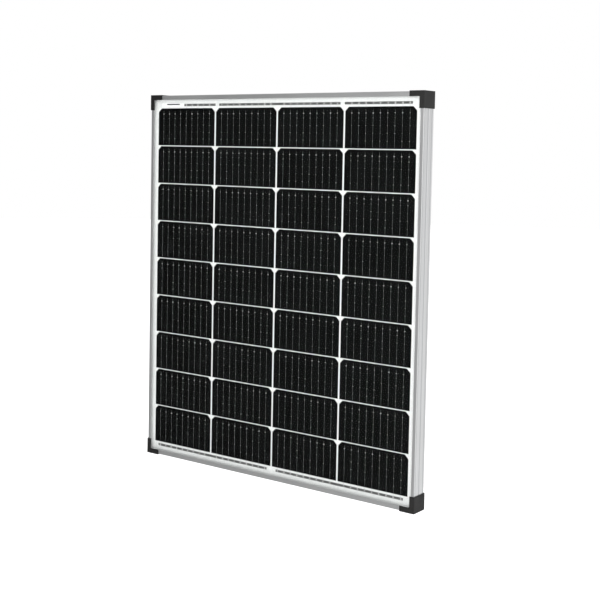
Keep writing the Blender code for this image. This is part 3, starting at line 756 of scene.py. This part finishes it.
def makeRibTree():
    # ribs standing round an upright axis, as on a gland's cap
    tree, get, out = newGeometryTree("capRibs", [
        ("Ribs", "Int", 18), ("Ring Radius", "Float", 0.0078), ("Rib Radius", "Float", 0.0006),
        ("Rib Length", "Float", 0.009), ("Copies", "Int", 2), ("Copy Pitch", "Float", 0.056),
        ("Centre", "Vector", None), ("Finish", "Material", None)])
    size = {"Vertices": 8, "Radius": get["Rib Radius"], "Depth": get["Rib Length"]}
    bar = geo(tree, "MeshCylinder", size)
    ring = geo(tree, "MeshCircle", {"Vertices": get["Ribs"], "Radius": get["Ring Radius"]})
    cap = repeatOn(tree, ring, bar)
    both = repeatOn(tree, lineUp(tree, get["Copies"], get["Copy Pitch"], "X"), cap)
    finishTree(tree, shift(tree, both, get["Centre"]), get["Finish"], out)
    return tree


def makeBarTree():
    # short round bars side by side, as on a finger grip
    tree, get, out = newGeometryTree("gripBars", [
        ("Bars", "Int", 4), ("Bar Pitch", "Float", 0.001), ("Bar Length", "Float", 0.016),
        ("Bar Radius", "Float", 0.0004), ("Centre", "Vector", None), ("Finish", "Material", None)])
    size = {"Vertices": 10, "Radius": get["Bar Radius"], "Depth": get["Bar Length"]}
    bar = geo(tree, "MeshCylinder", size)
    bar = geo(tree, "Transform", {"Geometry": bar, "Rotation": (0, math.pi / 2, 0)})
    grip = repeatOn(tree, lineUp(tree, get["Bars"], get["Bar Pitch"], "Z"), bar)
    finishTree(tree, shift(tree, grip, get["Centre"]), get["Finish"], out)
    return tree


# What the glass covers

wireSet = {"wires": 9, "spacing": 0.0169, "radius": 0.00019, "startBelow": 0.0060, "runPast": 0.0010,
           "jitter": (0.00006, 0, 0.0004), "sunk": 0.8}
padSet = {"pads": 4, "first": 0.0223, "pitch": 0.0152, "size": (0.0012, 0.0005, 0.0013),
          "topFirst": 0.0125, "topSize": (0.0021, 0.0006, 0.0022), "proud": 0.0001,
          "jitter": (0.0001, 0, 0.0002)}


def layWires():
    first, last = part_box("cell_c1_r1"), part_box("cell_c4_r9")
    middle = (first[0] + last[1]) / 2
    face = array["face"]
    half = array["cellHeight"] / 2
    shared = {"Columns": array["columns"], "Rows": array["rows"], "Column Pitch": array["acrossPitch"],
              "Row Pitch": array["upPitch"], "Wires": wireSet["wires"],
              "Wire Spacing": wireSet["spacing"]}
    wires = growPiece("cell_wires", makeWireTree(), {
        **shared, "Wire Radius": wireSet["radius"], "Wire Top": half - wireSet["startBelow"],
        "Wire Bottom": -half - wireSet["runPast"], "Jitter": wireSet["jitter"], "Finish": coatedWire,
        "Centre": (middle.x, face - wireSet["radius"] * wireSet["sunk"], middle.z)})
    fixPiece(wires, "panel")
    tree = makePadTree()
    run = padSet["pitch"] * (padSet["pads"] - 1)
    drop = half - padSet["first"] - run / 2
    shared.update({"Pad Pitch": padSet["pitch"], "Jitter": padSet["jitter"], "Finish": padTin})
    front = face - padSet["proud"]
    pads = growPiece("solder_pads", tree, {
        **shared, "Pads": padSet["pads"], "Pad Size": padSet["size"],
        "Centre": (middle.x, front, middle.z + drop)})
    fixPiece(pads, "panel", 60)
    heads = growPiece("head_pads", tree, {
        **shared, "Pads": 1, "Pad Size": padSet["topSize"], "Seed": 8,
        "Centre": (middle.x, front, middle.z + half - padSet["topFirst"])})
    fixPiece(heads, "panel", 60)


ribbonSet = {"jointSize": (0.0038, 0.0005, 0.0047), "jitter": (0.0004, 0, 0.0001),
             "tailRadius": 0.00022, "tailProud": 0.0001, "overlap": 0.0004, "edgeRoom": 0.0002}


def joinRibbons():
    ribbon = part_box("bus_ribbon_top_middle")
    height = (ribbon[0].z + ribbon[1].z) / 2
    face = ribbon[0].y
    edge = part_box("cell_c1_r1")[1].z + ribbonSet["edgeRoom"]
    top = height + ribbonSet["overlap"]
    shared = {"Columns": array["columns"], "Rows": 2, "Column Pitch": array["acrossPitch"],
              "Wires": wireSet["wires"], "Wire Spacing": wireSet["spacing"], "Finish": jointTin}
    tails = growPiece("ribbon_tails", makeWireTree(), {
        **shared, "Row Pitch": top + edge, "Wire Radius": ribbonSet["tailRadius"],
        "Wire Top": (top - edge) / 2, "Wire Bottom": (edge - top) / 2,
        "Centre": (0, face - ribbonSet["tailProud"], 0), "Jitter": (0, 0, 0)})
    fixPiece(tails, "panel")
    joints = growPiece("ribbon_joints", makePadTree(), {
        **shared, "Row Pitch": 2 * height, "Pads": 1, "Pad Size": ribbonSet["jointSize"],
        "Centre": (0, face, 0), "Jitter": ribbonSet["jitter"], "Seed": 11})
    fixPiece(joints, "panel", 60)


# Flat and turned pieces

def newPiece(name, bm, finish):
    bmesh.ops.remove_doubles(bm, verts=bm.verts, dist=1e-6)
    bmesh.ops.recalc_face_normals(bm, faces=bm.faces)
    mesh = bpy.data.meshes.new(name)
    bm.to_mesh(mesh)
    bm.free()
    mesh.materials.append(finish)
    piece = bpy.data.objects.new(name, mesh)
    scene.collection.objects.link(piece)
    return piece


def skinRings(bm, rings):
    # joins each ring to the next and closes both ends
    count = len(rings[0])
    for here, after in zip(rings, rings[1:]):
        for i in range(count):
            j = (i + 1) % count
            bm.faces.new((here[i], here[j], after[j], after[i]))
    bm.faces.new(rings[0])
    bm.faces.new(rings[-1])


def addSheet(bm, low, high, corner):
    # A thin plate facing front and back, with round corners and softened edges.
    steps = 6
    middle = ((low[0] + high[0]) / 2, (low[2] + high[2]) / 2)
    half = ((high[0] - low[0]) / 2, (high[2] - low[2]) / 2)
    outline = []
    for index, (sx, sz) in enumerate(((1, 1), (-1, 1), (-1, -1), (1, -1))):
        for step in range(steps + 1):
            angle = math.radians(90 * index + 90 * step / steps)
            outline.append((middle[0] + sx * (half[0] - corner) + corner * math.cos(angle),
                            middle[1] + sz * (half[1] - corner) + corner * math.sin(angle)))
    soft = min(corner, high[1] - low[1]) * 0.4
    rings = []
    for y, shrink in ((low[1], soft), (low[1] + soft, 0), (high[1] - soft, 0), (high[1], soft)):
        kx, kz = 1 - shrink / half[0], 1 - shrink / half[1]
        ring = []
        for x, z in outline:
            place = (middle[0] + (x - middle[0]) * kx, y, middle[1] + (z - middle[1]) * kz)
            ring.append(bm.verts.new(place))
        rings.append(ring)
    skinRings(bm, rings)


def addTurned(bm, profile, place, axis, segments=32):
    # A closed loop of (radius, along) points turned about an axis through place.
    rings = []
    for step in range(segments):
        angle = 2 * math.pi * step / segments
        ring = []
        for radius, along in profile:
            u, v = radius * math.cos(angle), radius * math.sin(angle)
            offset = {"Y": (u, along, v), "Z": (u, v, along), "X": (along, u, v)}[axis]
            ring.append(bm.verts.new(Vector(place) + Vector(offset)))
        rings.append(ring)
    for step in range(segments):
        here, after = rings[step], rings[(step + 1) % segments]
        for i in range(len(profile)):
            j = (i + 1) % len(profile)
            if profile[i][0] or profile[j][0]:  # nothing lies between two points on the axis
                bm.faces.new((here[i], here[j], after[j], after[i]))


labelSet = {"left": -0.3285, "right": -0.2610, "height": 0.0090, "thick": 0.00008, "proud": 0.00027,
            "corner": 0.0012, "barLeft": -0.3125, "barRight": -0.2750, "barHeight": 0.0026,
            "barRise": 0.0016, "barThick": 0.00003, "barCorner": 0.0004}


def stickLabel():
    # A plain white film over the ribbon's end, with one plain dark bar.
    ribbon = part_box("bus_ribbon_top_left")
    middle = (ribbon[0].z + ribbon[1].z) / 2
    face = ribbon[0].y - labelSet["proud"]
    half = labelSet["height"] / 2
    bm = bmesh.new()
    addSheet(bm, (labelSet["left"], face - labelSet["thick"], middle - half),
             (labelSet["right"], face, middle + half), labelSet["corner"])
    fixPiece(newPiece("ribbon_label", bm, labelFilm), "panel")
    bm = bmesh.new()
    low = middle + labelSet["barRise"] - labelSet["barHeight"] / 2
    front = face - labelSet["thick"] - labelSet["barThick"]
    addSheet(bm, (labelSet["barLeft"], front, low),
             (labelSet["barRight"], front + labelSet["barThick"], low + labelSet["barHeight"]),
             labelSet["barCorner"])
    fixPiece(newPiece("label_bar", bm, labelInk), "panel")


slitSet = {"halfWidth": 0.033, "halfHeight": 0.0055, "drop": 0.0176, "room": 0.00002, "corner": 0.001}


def boxFoot():
    # Lowest and highest point of the box's body, without its hinge ears.
    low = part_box("junction_box_base")[0].z
    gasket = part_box("lid_gasket")
    return low, gasket[1].z + gasket[0].z - low


def coverSlit():
    # White film that closes the lead slit from the front.
    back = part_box("backsheet")
    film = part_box("encapsulant")
    middle = boxFoot()[1] - slitSet["drop"]
    bm = bmesh.new()
    wide, tall, room = slitSet["halfWidth"], slitSet["halfHeight"], slitSet["room"]
    addSheet(bm, (-wide, film[1].y + room, middle - tall), (wide, back[0].y - room, middle + tall),
             slitSet["corner"])
    fixPiece(newPiece("slit_film", bm, whiteBacksheet), "panel")


sealSet = {"inward": 0.0124, "bead": (0.0036, 0.0030), "corner": 0.003,
           "boxOut": 0.0006, "boxBead": (0.0040, 0.0026), "boxCorner": 0.0055, "rise": 0.0006,
           "clear": 0.00003}


def runSeals():
    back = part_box("backsheet")[1].y
    tree = makeBeadTree()
    width = cadBox[1][0] - cadBox[0][0] - 0.003 - 2 * sealSet["inward"]
    height = cadBox[1][2] - cadBox[0][2] - 0.003 - 2 * sealSet["inward"]
    frameSeal = growPiece("frame_seal", tree, {
        "Width": width, "Height": height, "Corner": sealSet["corner"], "Bead Width": sealSet["bead"][0],
        "Bead Height": sealSet["bead"][1], "Step": 0.006, "Wander": 0.0010, "Base": back + sealSet["clear"],
        "Centre": ((cadBox[0][0] + cadBox[1][0]) / 2, back + sealSet["rise"],
                   (cadBox[0][2] + cadBox[1][2]) / 2),
        "Finish": whiteSealant})
    fixPiece(frameSeal, "panel")
    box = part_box("junction_box_base")
    boxHalf = (box[1].x - box[0].x) / 2
    low, high = boxFoot()
    boxSeal = growPiece("box_seal", tree, {
        "Width": 2 * (boxHalf + sealSet["boxOut"]), "Height": high - low + 2 * sealSet["boxOut"],
        "Corner": sealSet["boxCorner"], "Bead Width": sealSet["boxBead"][0],
        "Bead Height": sealSet["boxBead"][1], "Step": 0.003, "Wander": 0.0009,
        "Base": back + sealSet["clear"],
        "Centre": ((box[0].x + box[1].x) / 2, back + sealSet["rise"], (low + high) / 2),
        "Finish": whiteSealant})
    fixPiece(boxSeal, "panel")


leadSet = {"halfWidth": 0.0020, "thick": 0.00028, "slitX": (-0.024, 0.0, 0.024), "steps": 8}


def bendLeads():
    # Flat leads from the slit in the backsheet over the head of each terminal tower.
    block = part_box("terminal_block")
    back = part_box("backsheet")
    slit = boxFoot()[1] - slitSet["drop"]
    top = block[1].y + leadSet["thick"]
    towerX = (block[1].x - block[0].x) / 2 - 0.0045
    bm = bmesh.new()
    for startX, side in zip(leadSet["slitX"], (-1, 0, 1)):
        endX = side * towerX
        knots = [(startX, back[0].y, slit), (startX, back[1].y + 0.0022, slit + 0.0002),
                 (startX * 0.7 + endX * 0.3, top - 0.0052, slit - 0.0010),
                 (startX * 0.2 + endX * 0.8, top - 0.0008, slit - 0.0062),
                 (endX, top + 0.0003, block[1].z + 0.0012), (endX, top, block[1].z - 0.0022),
                 (endX, top, block[1].z - 0.0058)]
        path = []
        for i in range(len(knots) - 1):
            around = [Vector(knots[max(0, min(len(knots) - 1, i + k))]) for k in (-1, 0, 1, 2)]
            for step in range(leadSet["steps"]):
                t = step / leadSet["steps"]
                path.append(0.5 * (2 * around[1] + (around[2] - around[0]) * t
                                   + (2 * around[0] - 5 * around[1] + 4 * around[2] - around[3]) * t * t
                                   + (3 * around[1] - around[0] - 3 * around[2] + around[3]) * t ** 3))
        path.append(Vector(knots[-1]))
        rings = []
        for i, point in enumerate(path):
            along = (path[min(i + 1, len(path) - 1)] - path[max(i - 1, 0)]).normalized()
            sideways = Vector((1, 0, 0)) - along * along.x
            sideways.normalize()
            out = along.cross(sideways) * leadSet["thick"] / 2
            wide = sideways * leadSet["halfWidth"]
            corners = (wide + out, wide - out, -wide - out, -wide + out)
            rings.append([bm.verts.new(point + corner) for corner in corners])
        skinRings(bm, rings)
    fixPiece(newPiece("lead_ribbons", bm, tinnedCopper), "panel", 40)


screwSet = {"head": 0.0026, "height": 0.0015, "slot": 0.0007, "slotDepth": 0.0009, "slotReach": 0.0019,
            "washer": 0.0036, "washerThick": 0.0004}


def fitScrews():
    # Cross-head clamp screws on square plates, one on each terminal tower.
    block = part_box("terminal_block")
    middle = (block[0].z + block[1].z) / 2
    face = block[1].y
    towerX = (block[1].x - block[0].x) / 2 - 0.0045
    head = screwSet["head"]
    rise = screwSet["washerThick"]
    top = rise + screwSet["height"]
    profile = [(0.0, rise), (head * 0.97, rise), (head, rise + 0.0003), (head * 0.96, top - 0.0006),
               (head * 0.78, top - 0.0002), (head * 0.45, top - 0.00004), (0.0, top)]
    bm = bmesh.new()
    for side in (-1, 0, 1):
        x = side * towerX
        addTurned(bm, profile, (x, face, middle), "Y", 28)
    screws = newPiece("clamp_screws", bm, solderTin)
    bm = bmesh.new()
    for side in (-1, 0, 1):
        x = side * towerX
        slot, reach = screwSet["slot"], 2 * screwSet["slotReach"]
        for wide, tall in ((slot, reach), (reach, slot)):
            low = (x - wide / 2, face + top - screwSet["slotDepth"], middle - tall / 2)
            high = (x + wide / 2, face + top + 0.001, middle + tall / 2)
            made = bmesh.ops.create_cube(bm, size=1.0)["verts"]
            for vert in made:
                vert.co = [low[k] + (vert.co[k] + 0.5) * (high[k] - low[k]) for k in range(3)]
    cutter = bpy.data.objects.new("cross", bpy.data.meshes.new("cross"))
    bm.to_mesh(cutter.data)
    bm.free()
    scene.collection.objects.link(cutter)
    cut = screws.modifiers.new("cross", "BOOLEAN")
    cut.object = cutter
    cut.solver = "EXACT"
    cut.use_self = True
    cut.operation = "DIFFERENCE"
    graph = bpy.context.evaluated_depsgraph_get()
    mesh = bpy.data.meshes.new_from_object(screws.evaluated_get(graph), depsgraph=graph)
    screws.modifiers.clear()
    screws.data = mesh
    bpy.data.objects.remove(cutter)
    fixPiece(screws, "panel", 30)
    bm = bmesh.new()
    for side in (-1, 0, 1):
        x = side * towerX
        addSheet(bm, (x - screwSet["washer"], face, middle - 0.0034),
                 (x + screwSet["washer"], face + rise, middle + 0.0034), 0.0005)
    fixPiece(newPiece("clamp_plates", bm, tinnedCopper), "panel", 30)


glandSet = {"ribs": 22, "ribRadius": 0.00055, "collar": 0.0030, "nose": 0.0053, "collarLip": 0.0020,
            "bodyLip": 0.0013, "sealOuter": 0.0034, "sealInner": 0.0019, "sealLength": 0.0075, "sealInset": 0.0006}


def ribGlands():
    left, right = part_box("cable_gland_left"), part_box("cable_gland_right")
    body = (left[1].x - left[0].x) / 2 - glandSet["collarLip"] + glandSet["bodyLip"]
    foot = boxFoot()[0]
    high = foot - glandSet["collar"]
    low = left[0].z + glandSet["nose"]
    middle = (left[0] + right[1]) / 2
    spacing = right[0].x - left[0].x
    ribs = growPiece("gland_ribs", makeRibTree(), {
        "Ribs": glandSet["ribs"], "Ring Radius": body, "Rib Radius": glandSet["ribRadius"],
        "Rib Length": high - low - 0.0008, "Copies": 2, "Copy Pitch": spacing,
        "Centre": (middle.x, middle.y, (high + low) / 2), "Finish": boxBlack})
    fixPiece(ribs, "panel")
    outer, inner, long = glandSet["sealOuter"], glandSet["sealInner"], glandSet["sealLength"]
    profile = [(inner, 0.0004), (inner + 0.0003, 0), (outer - 0.0003, 0), (outer, 0.0004), (outer, long),
               (inner + 0.0005, long), (inner, long - 0.0012), (inner, 0.0045), (inner + 0.0004, 0.0040),
               (inner + 0.0004, 0.0030), (inner, 0.0025)]
    bm = bmesh.new()
    for box in (left, right):
        end = box[0].z + glandSet["sealInset"]
        addTurned(bm, profile, ((box[0].x + box[1].x) / 2, middle.y, end), "Z", 36)
    fixPiece(newPiece("gland_seals", bm, blackRubber), "panel", 40)


lidSet = {"ribHeight": 0.0008, "bars": 3, "barPitch": 0.0012, "barLength": 0.0170, "barRadius": 0.00045,
          "tabReach": 0.0045, "ventX": 0.030, "vent": 0.0052}


def dressLid():
    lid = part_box("junction_box_lid")
    foot, head = boxFoot()
    face = lid[1].y - lidSet["ribHeight"]
    grips = growPiece("lid_grips", makeBarTree(), {
        "Bars": lidSet["bars"], "Bar Pitch": lidSet["barPitch"], "Bar Length": lidSet["barLength"],
        "Bar Radius": lidSet["barRadius"], "Centre": (0, face, lid[0].z + lidSet["tabReach"] / 2),
        "Finish": boxBlack})
    fixPiece(grips, "lid")
    vent = lidSet["vent"]
    height = (foot + head) / 2 + (head - foot) / 8
    profile = [(0.0, -0.0005), (vent, -0.0005), (vent, 0.0005), (vent * 0.95, 0.0008), (vent * 0.84, 0.0008),
               (vent * 0.80, 0.0005), (vent * 0.78, 0.0002), (vent * 0.48, 0.0002), (vent * 0.44, 0.0006),
               (vent * 0.36, 0.0007), (0.0, 0.00075)]
    bm = bmesh.new()
    addTurned(bm, profile, (lidSet["ventX"], face, height), "Y", 40)
    fixPiece(newPiece("lid_vent", bm, boxBlack), "lid", 30)


layWires()
joinRibbons()
stickLabel()
coverSlit()
runSeals()
bendLeads()
fitScrews()
ribGlands()
dressLid()
